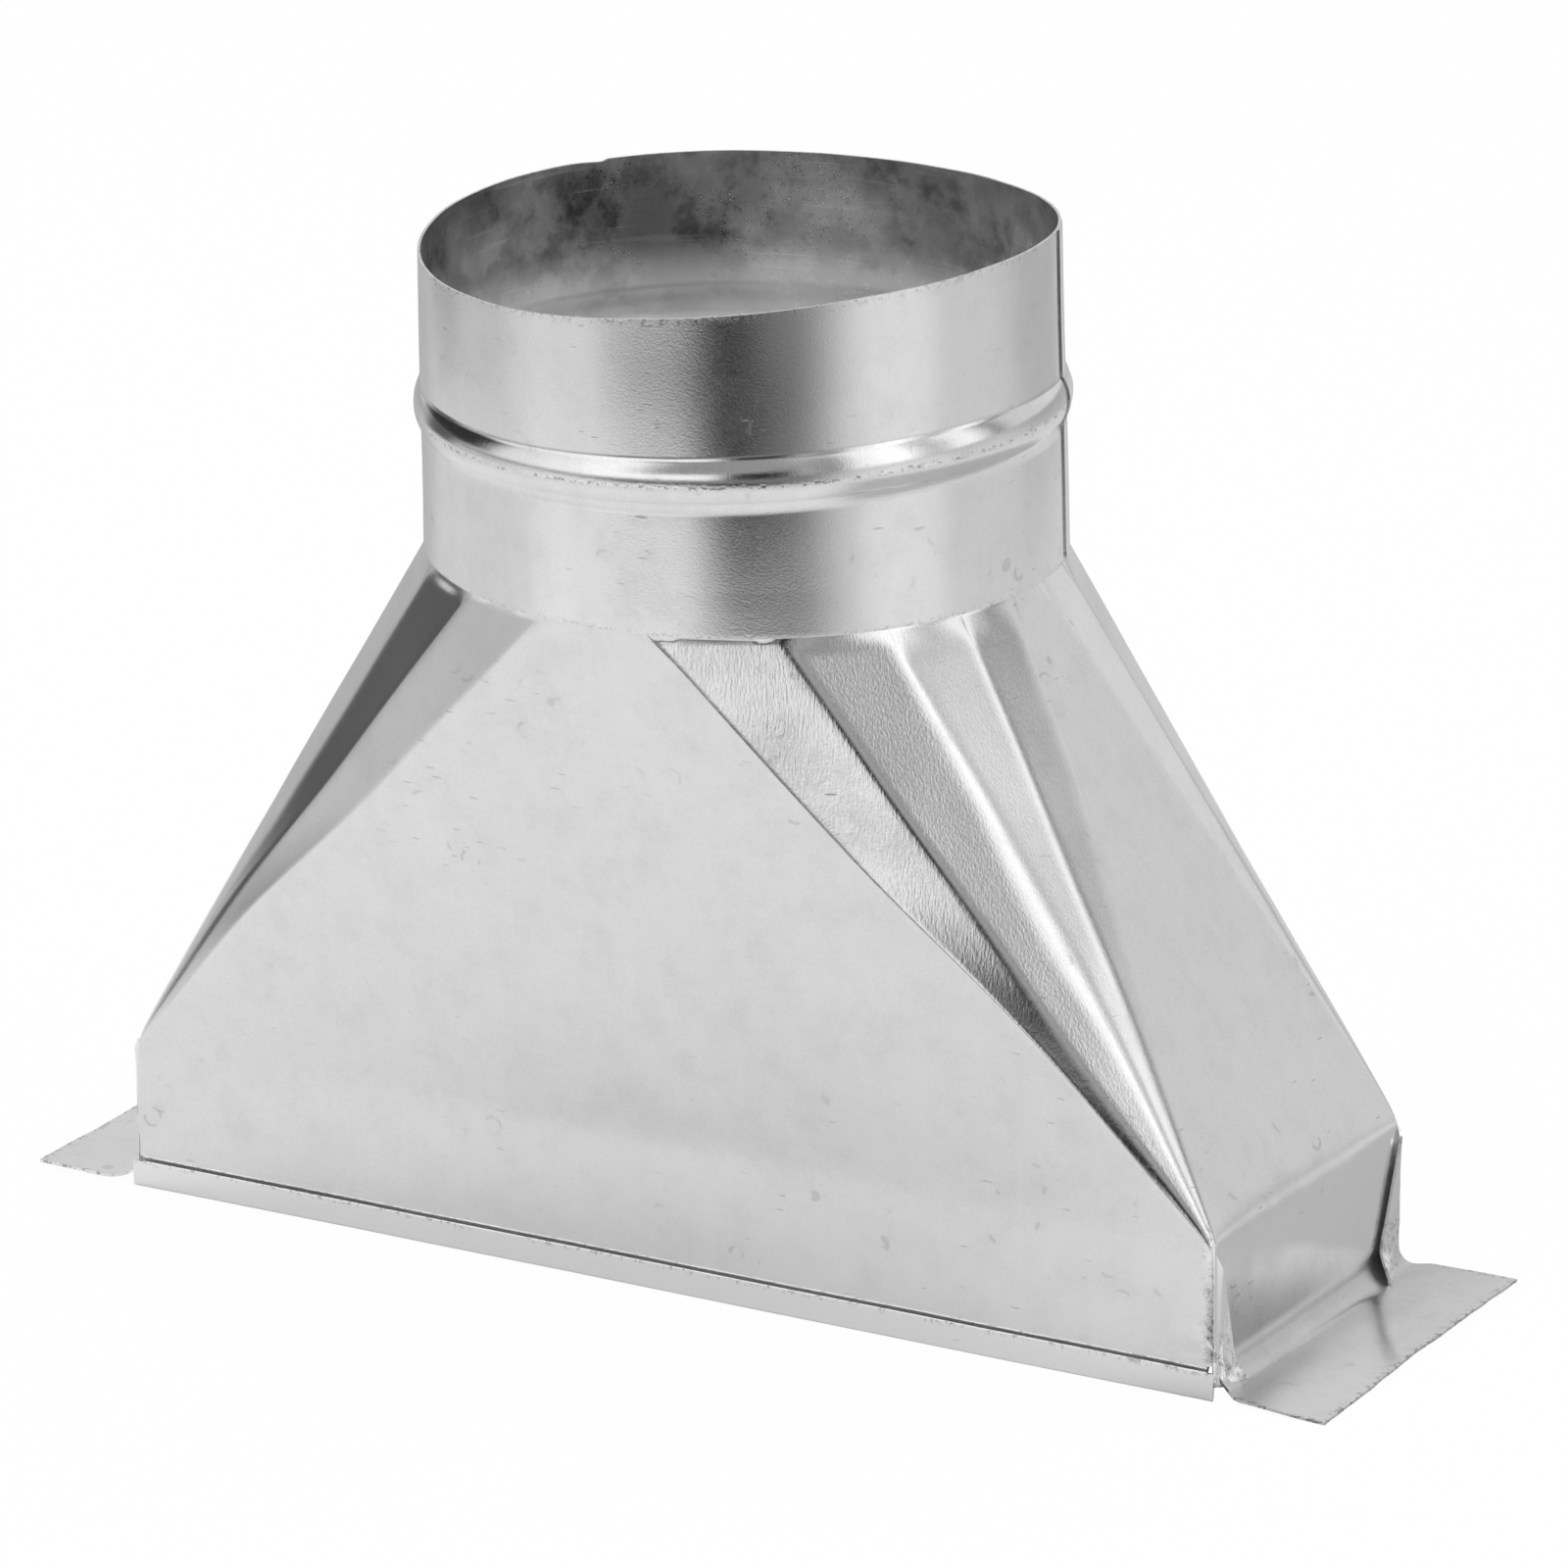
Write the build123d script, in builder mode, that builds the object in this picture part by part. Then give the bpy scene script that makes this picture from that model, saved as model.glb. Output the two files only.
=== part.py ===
from build123d import *
import os
from math import atan2, cos, degrees, radians, sin

# A sheet-metal adapter from a long rectangular duct to a round one.
# +Z is up, X runs along the rectangle's long side, Y along its short side.
# The origin is the centre of the rectangular mouth, in the plane it stands on.
# Lengths are in millimetres and angles in degrees.

# The sheet
sheet = 0.7                      # thickness of the galvanised steel
fold_radius = 1.2                # inside radius of the skirt's upright folds

# Rectangular end
base_length = 306.0              # skirt, outside, along X
base_width = 102.0               # skirt, outside, along Y
skirt_height = 38.0              # from the base plane to the fold where the slopes start

# Round end
collar_diameter = 159.2          # outside, slips into a 160 mm pipe
collar_height = 79.0
joint_height = 179.5             # base plane to the collar's lower edge
neck_overlap = 10.5              # length of the body's neck inside the collar
collar_fit = 0.1                 # room between the neck and the collar

# Folds of one corner: where each meets the neck, as an angle from the X axis
crease_angles = [5.0, 18.0, 35.0, 56.0, 77.0]
bow_height = 12.0                # band under the collar where flat facets round up to the neck

# Swaged bead around the collar
bead_height = 14.4
bead_depth = 2.7
bead_above_joint = 38.5          # to the middle of the bead

# Lap seams
collar_lap = 12.0                # length of the collar's overlap, round its wall
collar_lap_angle = 19.0          # where the outer layer's free edge lies, from the X axis
body_lap = 10.0                  # width of the body's overlap, down the middle of its left end
lap_end_gap = 1.5                # the body's overlap stops this far under the collar

# Open hem along the bottom of each long side
hem_height = 8.0
hem_gap = 0.8                    # opening between the wall and the hem
hem_end_gap = 1.0                # hem stops this far short of the upright folds

# Flange bent out at the bottom of each short side
flange_width = 30.0              # from the skirt's outside face
flange_overhang = 2.0            # past the skirt at each side
flange_radius = 6.0              # inside radius of its bend

# Corner tabs: what is left of the long sides' sheet, wrapped on to the short sides
tab_width = 13.0                 # at the bottom, along the tab
tab_angle = 13.0                 # how far a tab stands off the short side
tab_clearance = 0.5              # over the flange's bend
tab_root = 0.35                  # depth that a tab starts within the upright fold

# Sizes that follow
outer_fold = fold_radius + sheet
half_length = base_length / 2
half_width = base_width / 2
rim_height = joint_height + collar_height
collar_radius = collar_diameter / 2
neck_radius = collar_radius - sheet - collar_fit
neck_top = joint_height + neck_overlap
slope_height = joint_height - skirt_height
bow_start = joint_height - bow_height
hem_turn = sheet + hem_gap / 2
flange_turn = sheet + flange_radius

# Each fold starts on a rounded corner of the skirt, facing fold_normal, and runs
# straight to its own point of the neck's circle. The outermost folds of a corner start
# where its rounding meets the flat sides.
fold_normals = [0.0] + crease_angles[1:-1] + [90.0]
folds_of_corner = list(zip(fold_normals, crease_angles))
folds = []
for across, along in [(1, 1), (-1, 1), (-1, -1), (1, -1)]:
    in_order = folds_of_corner if across == along else reversed(folds_of_corner)
    folds += [(across, along, fold_normal, neck_angle) for fold_normal, neck_angle in in_order]
folds_in_corner = len(folds_of_corner)


def fold_point(fold, share, inset):
    """Where a fold crosses a level: share 0 is the skirt's top, and 1 is the neck."""
    across, along, fold_normal, neck_angle = fold
    foot_x = half_length - outer_fold + (outer_fold - inset) * cos(radians(fold_normal))
    foot_y = half_width - outer_fold + (outer_fold - inset) * sin(radians(fold_normal))
    head_x = (neck_radius - inset) * cos(radians(neck_angle))
    head_y = (neck_radius - inset) * sin(radians(neck_angle))
    return (
        across * (foot_x + share * (head_x - foot_x)),
        along * (foot_y + share * (head_y - foot_y)),
    )


def outline(height, share, inset, corner_arc=None, side_arc=None):
    """Draw one level of the body. Arcs are given as radii, and None is a straight edge."""
    points = [fold_point(fold, share, inset) for fold in folds]
    edges = []
    with BuildLine(Plane.XY.offset(height)):
        for index, start in enumerate(points):
            end = points[(index + 1) % len(points)]
            is_side = index % folds_in_corner == folds_in_corner - 1
            radius = side_arc if is_side else corner_arc
            curve = Line(start, end) if radius is None else RadiusArc(start, end, -radius)
            edges.append(curve.edge())
    return edges


def folded_solid(inset, overrun):
    """Close the body's outer face, or its inner one, with a ruled strip for each facet."""
    corner = outer_fold - inset
    neck = neck_radius - inset
    levels = [
        outline(hem_turn - overrun, 0, inset, corner_arc=corner),
        outline(skirt_height, 0, inset, corner_arc=corner),
        outline(bow_start, (bow_start - skirt_height) / slope_height, inset),
        outline(joint_height, 1, inset, corner_arc=neck, side_arc=neck),
        outline(neck_top + overrun, 1, inset, corner_arc=neck, side_arc=neck),
    ]
    facets = [
        Face.make_surface_from_curves(low, high)
        for lower, upper in zip(levels, levels[1:])
        for low, high in zip(lower, upper)
    ]
    ends = [Face(Wire(levels[0])), Face(Wire(levels[-1]))]
    return Solid(Shell(facets + ends))


# Flange at the right end: down the wall's line, round the bend and out
with BuildPart() as flange:
    with BuildSketch(Plane.XZ):
        with BuildLine():
            bend = RadiusArc(
                (half_length, flange_turn),
                (half_length + flange_radius, sheet),
                -flange_radius,
            )
            Line(bend @ 1, (half_length + flange_width, sheet))
            offset(amount=sheet, side=Side.RIGHT)
        make_face()
    extrude(amount=half_width + flange_overhang, both=True)

# Hem at the back: round its turn at the bottom and up the outside
with BuildPart() as hem:
    with BuildSketch(Plane.YZ):
        with BuildLine():
            turn = CenterArc((half_width + hem_gap / 2, hem_turn), hem_gap / 2, 180, 180)
            Line(turn @ 1, (half_width + hem_gap, hem_height))
            offset(amount=sheet, side=Side.RIGHT)
        make_face()
    extrude(amount=half_length - outer_fold - hem_end_gap, both=True)

# Tab at the back right corner: a tapering leaf that leaves the upright fold
tab_direction = Vector(sin(radians(tab_angle)), -cos(radians(tab_angle)), 0)
tab_start = Vector(half_length - tab_root, half_width - fold_radius, 0)
tab_plane = Plane(
    origin=tab_start,
    x_dir=tab_direction,
    z_dir=Vector(tab_direction.Y, -tab_direction.X, 0),
)
tab_foot = flange_turn + tab_clearance
with BuildPart() as tab:
    with BuildSketch(tab_plane):
        with BuildLine():
            Polyline((0, tab_foot), (0, skirt_height), (tab_width, tab_foot), close=True)
        make_face()
    extrude(amount=-sheet)

# Overlap of the body's own seam, up the middle of the left end
neck_line = neck_radius * cos(radians(crease_angles[0]))
lap_head_share = (slope_height - lap_end_gap) / slope_height
with BuildPart() as body_seam:
    with BuildSketch(Plane.XZ):
        with BuildLine():
            Polyline(
                (-half_length, flange_turn),
                (-half_length, skirt_height),
                (
                    -half_length + lap_head_share * (half_length - neck_line),
                    joint_height - lap_end_gap,
                ),
            )
            offset(amount=sheet, side=Side.LEFT)
        make_face()
    extrude(amount=body_lap / 2, both=True)

# The folded body
with BuildPart() as transition_body:
    add(folded_solid(inset=0, overrun=0))
    add(folded_solid(inset=sheet, overrun=sheet), mode=Mode.SUBTRACT)
    with Locations((half_length, 0, 0), (-half_length, 0, 0)):
        Box(
            2 * outer_fold,
            base_width,
            2 * flange_turn,
            mode=Mode.SUBTRACT,
        )
    add(flange.part)
    add(flange.part.mirror(Plane.YZ))
    add(hem.part)
    add(hem.part.mirror(Plane.XZ))
    for corner_tab in (tab.part, tab.part.mirror(Plane.XZ)):
        add(corner_tab)
        add(corner_tab.mirror(Plane.YZ))
    add(body_seam.part)

transition_body.part.label = "transition_body"


def strip_section(outside, plane):
    """Sketch the collar's strip, whose outer face is at this radius, with its bead."""
    bead_turn = degrees(2 * atan2(bead_depth, bead_height / 2))
    bead_radius = bead_height / 4 / sin(radians(bead_turn))
    bead_bottom = joint_height + bead_above_joint - bead_height / 2
    with BuildSketch(plane) as section:
        with BuildLine():
            lower = Line((outside, joint_height), (outside, bead_bottom))
            swell = JernArc(lower @ 1, lower % 1, bead_radius, -bead_turn)
            crown = JernArc(swell @ 1, swell % 1, bead_radius, 2 * bead_turn)
            close = JernArc(crown @ 1, crown % 1, bead_radius, -bead_turn)
            Line(close @ 1, (outside, rim_height))
            offset(amount=sheet, side=Side.LEFT)
        make_face()
    return section.sketch


# The collar: one strip rolled into a tube, its ends lapped
lap_sweep = degrees(collar_lap / collar_radius)
lap_plane = Plane(
    origin=(0, 0, 0),
    x_dir=(cos(radians(collar_lap_angle)), sin(radians(collar_lap_angle)), 0),
    z_dir=(sin(radians(collar_lap_angle)), -cos(radians(collar_lap_angle)), 0),
)
with BuildPart() as round_collar:
    revolve(strip_section(collar_radius, Plane.XZ), axis=Axis.Z)
    revolve(
        strip_section(collar_radius + sheet, lap_plane),
        axis=Axis.Z,
        revolution_arc=lap_sweep,
    )

round_collar.part.label = "round_collar"

os.makedirs("parts", exist_ok=True)
export_step(transition_body.part, "parts/transition_body.step")
export_step(round_collar.part, "parts/round_collar.step")
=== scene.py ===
from math import atan2, cos, pi, radians, sin, sqrt, tau

import bmesh
import bpy
from mathutils import Matrix, Vector, noise


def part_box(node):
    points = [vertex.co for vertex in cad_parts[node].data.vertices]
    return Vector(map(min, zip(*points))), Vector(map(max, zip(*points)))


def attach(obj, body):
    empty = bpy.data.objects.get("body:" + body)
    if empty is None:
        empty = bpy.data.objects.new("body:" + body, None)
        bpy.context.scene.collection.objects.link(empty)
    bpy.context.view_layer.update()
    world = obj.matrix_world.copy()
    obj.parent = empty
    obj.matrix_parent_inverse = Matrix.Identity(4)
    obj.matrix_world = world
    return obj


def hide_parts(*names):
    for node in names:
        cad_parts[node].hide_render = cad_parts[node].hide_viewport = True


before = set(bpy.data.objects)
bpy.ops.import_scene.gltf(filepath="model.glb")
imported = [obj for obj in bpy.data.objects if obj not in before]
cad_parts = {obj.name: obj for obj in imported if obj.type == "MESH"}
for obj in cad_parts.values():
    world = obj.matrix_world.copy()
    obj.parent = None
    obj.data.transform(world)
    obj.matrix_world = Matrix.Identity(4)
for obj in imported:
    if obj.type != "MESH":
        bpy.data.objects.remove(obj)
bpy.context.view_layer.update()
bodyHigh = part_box("transition_body")[1]
collarLow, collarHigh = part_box("round_collar")
print("frame loaded")

# the camera stands where the photographer stood, with a long lens
camera = {
    "azimuth": 29.006, "elevation": 18.599, "distance": 3.075,
    "lens": 280.6, "sensor": 36.0,
    "aimRight": 0.00717, "aimUp": 0.10996,      # from the origin, in the picture's plane
}


def placeCamera():
    turn, rise = radians(camera["azimuth"]), radians(camera["elevation"])
    right = Vector((cos(turn), sin(turn), 0))
    back = Vector((sin(turn) * cos(rise), -cos(turn) * cos(rise), sin(rise)))
    up = back.cross(right)
    aim = right * camera["aimRight"] + up * camera["aimUp"]
    data = bpy.data.cameras.new("camera")
    data.lens = camera["lens"]
    data.sensor_width = camera["sensor"]
    data.clip_end = 100
    seen = bpy.data.objects.new("camera", data)
    seen.matrix_world = Matrix.Translation(aim + back * camera["distance"]) @ Matrix((
        (right.x, up.x, back.x, 0),
        (right.y, up.y, back.y, 0),
        (right.z, up.z, back.z, 0),
        (0, 0, 0, 1),
    ))
    bpy.context.scene.collection.objects.link(seen)
    bpy.context.scene.camera = seen


placeCamera()
print("camera placed")


class Socket:
    # one output of a node: sums on it add Math nodes, and node() adds any other kind
    def __init__(self, tree, output=None):
        self.tree = tree
        self.output = output

    def node(self, kind, settings=None, values=None, output=0):
        made = self.tree.nodes.new(kind)
        for name, value in (settings or {}).items():
            if name == "stops":
                ramp = made.color_ramp
                while len(ramp.elements) < len(value):
                    ramp.elements.new(0.5)
                for element, (place, tone) in zip(ramp.elements, value):
                    element.position = place
                    element.color = (tone, tone, tone, 1)
            elif name == "interpolation" and kind == "ShaderNodeValToRGB":
                made.color_ramp.interpolation = value
            else:
                setattr(made, name, value)
        for name, value in (values or {}).items():
            if isinstance(value, Socket):
                self.tree.links.new(value.output, made.inputs[name])
            else:
                made.inputs[name].default_value = value
        return Socket(self.tree, made.outputs[output] if made.outputs else None)

    def sum(self, operation, first, second=0.0):
        return self.node("ShaderNodeMath", {"operation": operation}, {0: first, 1: second})

    def __add__(self, other):
        return self.sum("ADD", self, other)

    def __sub__(self, other):
        return self.sum("SUBTRACT", self, other)

    def __rsub__(self, other):
        return self.sum("SUBTRACT", other, self)

    def __mul__(self, other):
        return self.sum("MULTIPLY", self, other)

    def __truediv__(self, other):
        return self.sum("DIVIDE", self, other)

    __radd__ = __add__
    __rmul__ = __mul__

    def band(self, low, high, start=0.0, end=1.0):
        # a smooth step from start to end as this goes from low to high
        return self.node("ShaderNodeMapRange", {"interpolation_type": "SMOOTHSTEP"},
                         {0: self, 1: low, 2: high, 3: start, 4: end})

    def axis(self, name):
        return self.node("ShaderNodeSeparateXYZ", None, {0: self}, name)

    def placed(self, stretch, turn=0.0):
        return self.node("ShaderNodeMapping", None,
                         {"Vector": self, "Scale": stretch, "Rotation": (0, radians(turn), radians(turn))})

    def noise(self, scale, detail=2.0, roughness=0.5, stretch=(1, 1, 1)):
        return self.node("ShaderNodeTexNoise", None, {
            "Vector": self.placed(stretch), "Scale": scale, "Detail": detail, "Roughness": roughness,
        })

    def cells(self, scale, stretch=(1, 1, 1), turn=0.0, output="Distance"):
        # distance to the nearest of many scattered points, or that point's own random colour
        return self.node("ShaderNodeTexVoronoi", None,
                         {"Vector": self.placed(stretch, turn), "Scale": scale}, output)


studio = {
    # how bright the room is at each angle round the object, from the front towards the right
    "walls": [
        (-180, 0.70), (-165, 0.62), (-146, 0.62), (-128, 0.76), (-112, 0.72), (-107, 0.16),
        (-84, 0.16), (-78, 0.62), (-60, 0.80), (-20, 1.05), (14, 1.00), (44, 0.60), (55, 0.32),
        (62, 0.24), (68, 0.92), (74, 1.05), (86, 1.25), (96, 0.60), (102, 0.44), (106, 0.92),
        (115, 1.08), (121, 0.76), (128, 0.14), (133, 0.58), (138, 0.66), (148, 0.64), (166, 0.72),
    ],
    "brightest": 1.5,                          # what the ramp's white stands for
    "ceiling": 0.85, "ceilingFrom": 0.55, "ceilingTo": 0.9,
    # dark things in the room: from and to an angle, their foot and top as heights, and their tone
    "stands": [
        {"from": 20.5, "to": 46, "edge": 3, "foot": -1, "top": 0.44, "tone": 0.02},
        {"from": -10, "to": 48, "edge": 10, "foot": 0.26, "top": 0.97, "tone": 0.30},
        {"from": -116, "to": -70, "edge": 7, "foot": 0.02, "top": 0.98, "tone": 0.03},
    ],
    "standSoft": 0.05,
    "floorSize": 12, "floorLevel": -0.0016, "floorGlow": 0.97,
    # the floor that only polished metal sees is painted darker far off, from farFrom to farTo
    "floor": 0.93, "farFloor": 0.80, "farFrom": 0.30, "farTo": 0.55,
    # painted shadows and lighter patches that only polished metal sees on the floor: sectors as angles,
    # the distance they start at, and their tone. Some end again at a far distance, and some swing round
    # with the distance.
    "shades": [
        {"from": -50, "to": 18, "edge": 12, "near": 0.52, "soft": 0.08, "tone": 0.99, "far": 0.80},
        {"from": 70, "to": 100, "edge": 8, "near": 0.55, "soft": 0.10, "tone": 0.99},
        {"from": -112, "to": -58, "edge": 14, "near": 0.82, "soft": 0.05, "tone": 0.62},
        {"from": -18, "to": 25, "edge": 10, "near": 0.855, "soft": 0.03, "tone": 0.36},
        {"from": 18, "to": 58, "edge": 12, "near": 0.62, "soft": 0.10, "tone": 0.26},
        {"from": 21, "to": 49, "edge": 7, "near": 0.66, "soft": 0.08, "tone": 0.0, "swing": 61},
        {"from": -109, "to": -88, "edge": 3, "near": 0.95, "soft": 0.15, "tone": 0.14},
        {"from": 66, "to": 176, "edge": 10, "near": 0.15, "soft": 0.03, "tone": 0.55, "far": 0.40},
        {"from": -165, "to": -112, "edge": 12, "near": 0.45, "soft": 0.10, "tone": 0.58},
        {"from": 140, "to": 185, "edge": 14, "near": 0.76, "soft": 0.06, "tone": 0.60},
    ],
    "swingReach": 0.72,                        # where a swinging sector lies at its own angles
    "lampPower": 13.4, "lampSize": 1.6, "lampPlace": (-0.3, -0.2, 2.2),
}


def roundAngle(shader, direction):
    return shader.sum("ARCTAN2", direction.axis("X"), direction.axis("Y") * -1.0) / tau + 0.5


def sector(angle, low, high, edge):
    return angle.band(low - edge, low + edge) * angle.band(high + edge, high - edge)


def lightRoom():
    world = bpy.data.worlds.new("studioRoom")
    world.use_nodes = True
    bpy.context.scene.world = world
    tree = world.node_tree
    tree.nodes.clear()
    shader = Socket(tree)
    direction = shader.node("ShaderNodeTexCoord", output="Generated")
    angle = roundAngle(shader, direction)
    stops = [(place / 360 + 0.5, tone / studio["brightest"]) for place, tone in studio["walls"]]
    walls = shader.node("ShaderNodeValToRGB", {"interpolation": "EASE", "stops": stops}, {0: angle})
    walls = walls * studio["brightest"]
    height = direction.axis("Z")
    overhead = height.band(studio["ceilingFrom"], studio["ceilingTo"])
    tone = walls * (1 - overhead) + overhead * studio["ceiling"]
    soft = studio["standSoft"]
    for stand in studio["stands"]:
        mask = sector((angle - 0.5) * 360.0, stand["from"], stand["to"], stand["edge"])
        mask = mask * height.band(stand["top"] + soft, stand["top"] - soft)
        mask = mask * height.band(stand["foot"] - soft, stand["foot"] + soft)
        tone = tone * (1 - mask) + mask * stand["tone"]
    isCamera = shader.node("ShaderNodeLightPath", output="Is Camera Ray")
    shown = tone * (1 - isCamera) + isCamera
    background = shader.node("ShaderNodeBackground", None, {"Color": shown})
    shader.node("ShaderNodeOutputWorld", None, {"Surface": background})


def startMaterial(name):
    material = bpy.data.materials.new(name)
    material.use_nodes = True
    tree = material.node_tree
    tree.nodes.clear()
    shader = Socket(tree)
    return material, shader, shader.node("ShaderNodeTexCoord", output="Object")


def layFloor():
    bm = bmesh.new()
    bmesh.ops.create_grid(bm, x_segments=1, y_segments=1, size=studio["floorSize"])
    mesh = bpy.data.meshes.new("studioFloor")
    bm.to_mesh(mesh)
    bm.free()
    floor = bpy.data.objects.new("studioFloor", mesh)
    floor.location.z = studio["floorLevel"]
    bpy.context.scene.collection.objects.link(floor)
    material, shader, place = startMaterial("paleFloor")
    material.cycles.emission_sampling = "NONE"
    angle = (roundAngle(shader, place) - 0.5) * 360.0
    reach = shader.node("ShaderNodeVectorMath", {"operation": "LENGTH"}, {0: place}, "Value")
    seen = reach.band(studio["farFrom"], studio["farTo"], studio["floor"], studio["farFloor"])
    for shade in studio["shades"]:
        turned = angle
        if "swing" in shade:
            turned = angle + reach * shade["swing"] - shade["swing"] * studio["swingReach"]
        mask = sector(turned, shade["from"], shade["to"], shade["edge"])
        mask = mask * reach.band(shade["near"] - shade["soft"], shade["near"] + shade["soft"])
        if "far" in shade:
            mask = mask * reach.band(shade["far"] + shade["soft"], shade["far"] - shade["soft"])
        seen = seen * (1 - mask) + mask * shade["tone"]
    isGlossy = shader.node("ShaderNodeLightPath", output="Is Glossy Ray")
    tone = studio["floor"] * (1 - isGlossy) + isGlossy * seen
    paper = shader.node("ShaderNodeBsdfDiffuse", None, {"Color": tone})
    glow = shader.node("ShaderNodeEmission", None, {"Color": (1, 1, 1, 1), "Strength": 1.0})
    isCamera = shader.node("ShaderNodeLightPath", output="Is Camera Ray")
    mixed = shader.node("ShaderNodeMixShader", None, {
        0: isCamera * studio["floorGlow"], 1: paper, 2: glow,
    })
    shader.node("ShaderNodeOutputMaterial", None, {"Surface": mixed})
    mesh.materials.append(material)


def hangLamp():
    data = bpy.data.lights.new("overheadLamp", "AREA")
    data.energy = studio["lampPower"]
    data.shape = "SQUARE"
    data.size = studio["lampSize"]
    lamp = bpy.data.objects.new("overheadLamp", data)
    lamp.location = studio["lampPlace"]
    lamp.visible_glossy = False
    bpy.context.scene.collection.objects.link(lamp)


lightRoom()
layFloor()
hangLamp()
bpy.context.scene.view_settings.view_transform = "Standard"
print("studio lit")


zinc = {
    "bumpDistance": 0.0004,
    # short strokes: how many to a metre, how long, their turn, and how many of the places have one
    "strokes": [
        {"scale": 85, "stretch": 6, "turn": 9, "share": 0.20},
        {"scale": 110, "stretch": 5, "turn": 31, "share": 0.18},
        {"scale": 80, "stretch": 4, "turn": -52, "share": 0.12},
    ],
    "curl": 0.7,
    "outside": {
        "tone": 0.89, "cloud": 0.08, "patch": 0.06, "grain": 0.24, "streak": 0.05,
        # the last one here, dull, weighs the painted shade and painted light of the dull attribute
        "scuff": 0.20, "fleck": 0.50, "glint": 0.12, "dull": 0.32,
        "roughness": 0.13, "roughCloud": 0.08, "roughGrain": 0.12, "roughPatch": 0.04,
        "roughScuff": 0.10, "roughDull": 0.12, "dullest": 0.7,
        "grainDepth": 0.5, "combDepth": 0.46, "evenComb": 0.04, "scuffDepth": 0.3,
        "fleckDepth": 1.2, "bump": 0.12,
    },
    "inside": {
        "tone": 0.50, "cloud": 0.44, "lowPaintedLight": 0.62, "aside": 0.10, "stain": 0.14, "grain": 0.12,
        "lines": 0.10, "wet": 0.15, "drop": 0.35,
        "roughness": 0.30, "roughCloud": 0.14, "roughStain": 0.06,
        "metallic": 0.88, "deepMetallic": 0.35,
        "grainDepth": 0.4, "lineDepth": 0.4, "dropDepth": 2.0, "bump": 0.18,
    },
}


def dashes(place, scale, stretch, turn, share):
    some = place.cells(scale, (1, 1, stretch), turn, "Color").axis("X").band(1 - share, 1.02 - share)
    return place.cells(scale, (1, 1, stretch), turn).band(0.16, 0.09) * some


def scuffs(place):
    groups = place.noise(15, detail=3).band(0.44, 0.62)
    ring = place.cells(120) - 0.30
    curls = (ring * ring).band(0.004, 0.001) * place.noise(150, detail=1).band(0.62, 0.67)
    strokes = [dashes(place, **stroke) for stroke in zinc["strokes"]]
    return groups * sum(strokes, curls * zinc["curl"])


def finishMetal(shader, tone, metallic, rough, relief, strength):
    bump = shader.node("ShaderNodeBump", None, {
        "Height": relief, "Strength": strength, "Distance": zinc["bumpDistance"],
    })
    metal = shader.node("ShaderNodeBsdfPrincipled", None, {
        "Base Color": tone, "Metallic": metallic, "Roughness": rough, "Normal": bump,
    })
    shader.node("ShaderNodeOutputMaterial", None, {"Surface": metal})


def makeOutsideZinc():
    look = zinc["outside"]
    material, shader, place = startMaterial("galvanisedOutside")
    combed, worn, dull = [shader.node("ShaderNodeAttribute", {"attribute_name": name}, output="Fac")
                          for name in ("combed", "worn", "dull")]
    cloud = place.noise(24, detail=5, roughness=0.62)
    patch = place.noise(75, detail=4, roughness=0.7).band(0.40, 0.75)
    grain = place.noise(1700, detail=3, roughness=0.75)
    comb = place.noise(1900, detail=1, stretch=(1, 1, 0.05))
    streak = place.noise(240, detail=3, stretch=(1, 1, 0.04))
    scuff = scuffs(place)
    fleck = place.noise(650, detail=3, roughness=0.7).band(0.52, 0.60) * worn
    glint = place.noise(830, detail=2, roughness=0.6).band(0.60, 0.66) * worn
    # the dull attribute paints shade where it is above zero and paints light where it is below; above zero
    # it also makes the sheet rougher
    tone = (look["tone"] + (cloud - 0.5) * look["cloud"] - patch * look["patch"]
            + (grain - 0.5) * look["grain"] + (streak - 0.5) * look["streak"]
            - scuff * look["scuff"] - fleck * look["fleck"] + glint * look["glint"]
            - dull * look["dull"])
    rough = (look["roughness"] + (cloud - 0.5) * look["roughCloud"]
             + (grain - 0.5) * look["roughGrain"] + patch * look["roughPatch"]
             + scuff * look["roughScuff"] + dull.band(0, look["dullest"]) * look["roughDull"])
    relief = (grain * look["grainDepth"] + comb * (combed * look["combDepth"] + look["evenComb"])
              - scuff * look["scuffDepth"] - fleck * look["fleckDepth"])
    finishMetal(shader, tone, 1.0, rough, relief, look["bump"])
    return material


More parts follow.
